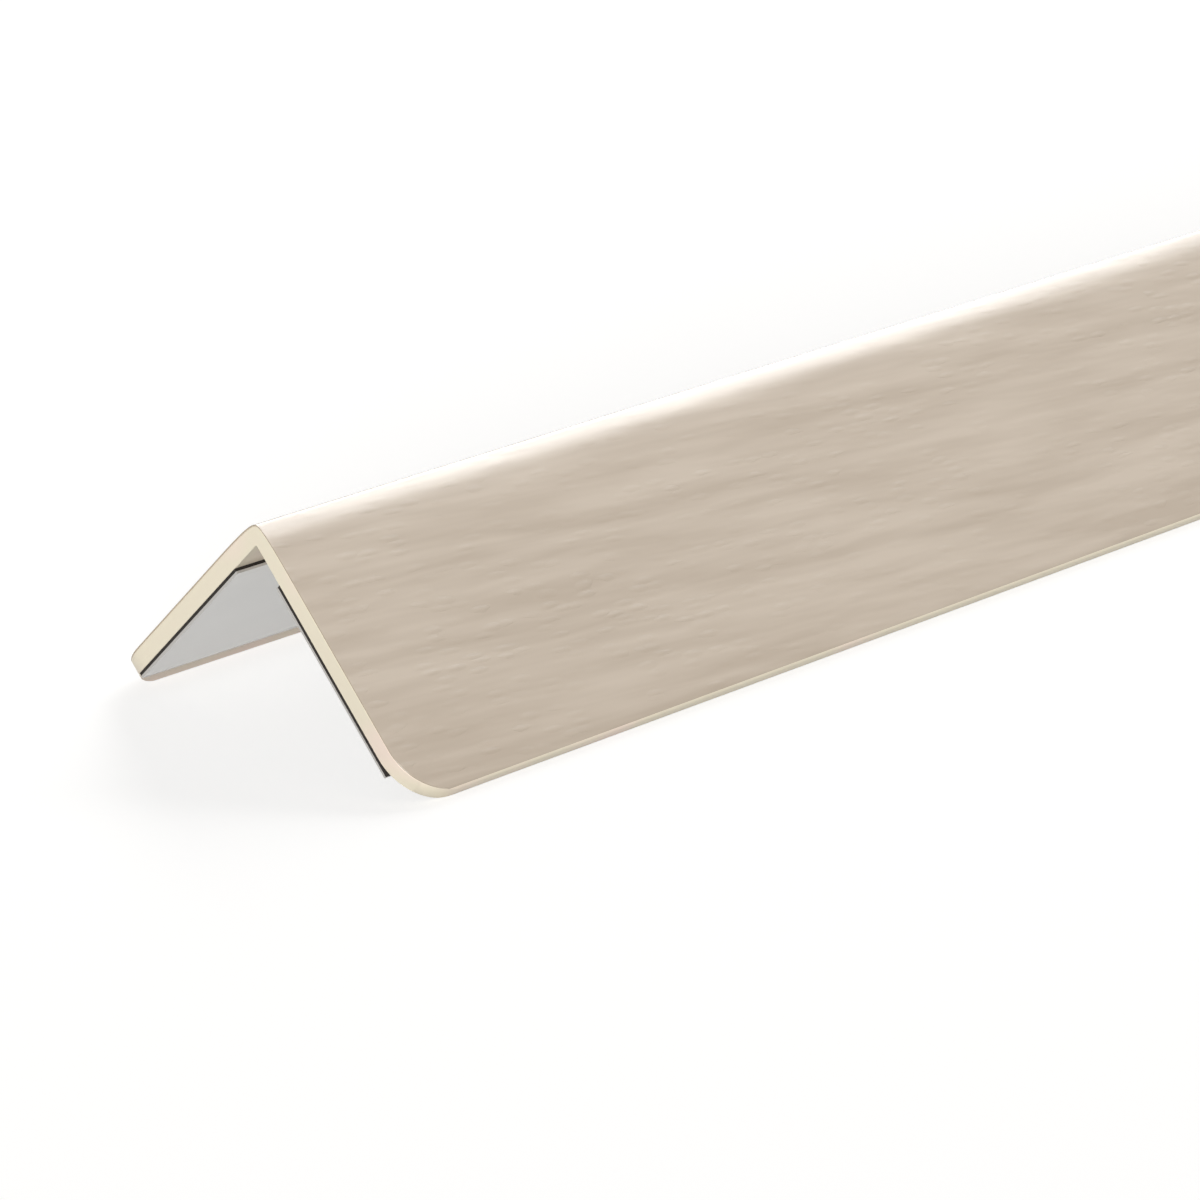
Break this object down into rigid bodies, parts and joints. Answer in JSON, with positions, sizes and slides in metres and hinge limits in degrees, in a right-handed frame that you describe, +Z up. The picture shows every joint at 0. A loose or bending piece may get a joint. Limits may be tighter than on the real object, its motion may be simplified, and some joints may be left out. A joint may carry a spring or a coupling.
{
  "type": "corner guard moulding",
  "caption": "Plastic L-section corner guard strip with wood-grain film outside and lined adhesive tape inside, rounded nose and end corners.",
  "frame": {"origin": "middle of the rectangle that the moulding covers on the floor, halfway along its length", "axes": "+X along the stock, +Z up to the nose, -Y towards the right leg as seen looking along +X"},
  "size_m": [1, 0.042, 0.0216],
  "materials": {
    "ivory_pvc": "satin",
    "wood_grain_film": "satin",
    "black_foam_tape": "matte",
    "release_paper": "satin"
  },
  "bodies": {
    "root": {"pvc_angle": "ivory_pvc", "wood_grain_film": "wood_grain_film", "foam_tape_right": "black_foam_tape", "foam_tape_left": "black_foam_tape", "release_liner_right": "release_paper", "release_liner_left": "release_paper"}
  },
  "joints": []
}
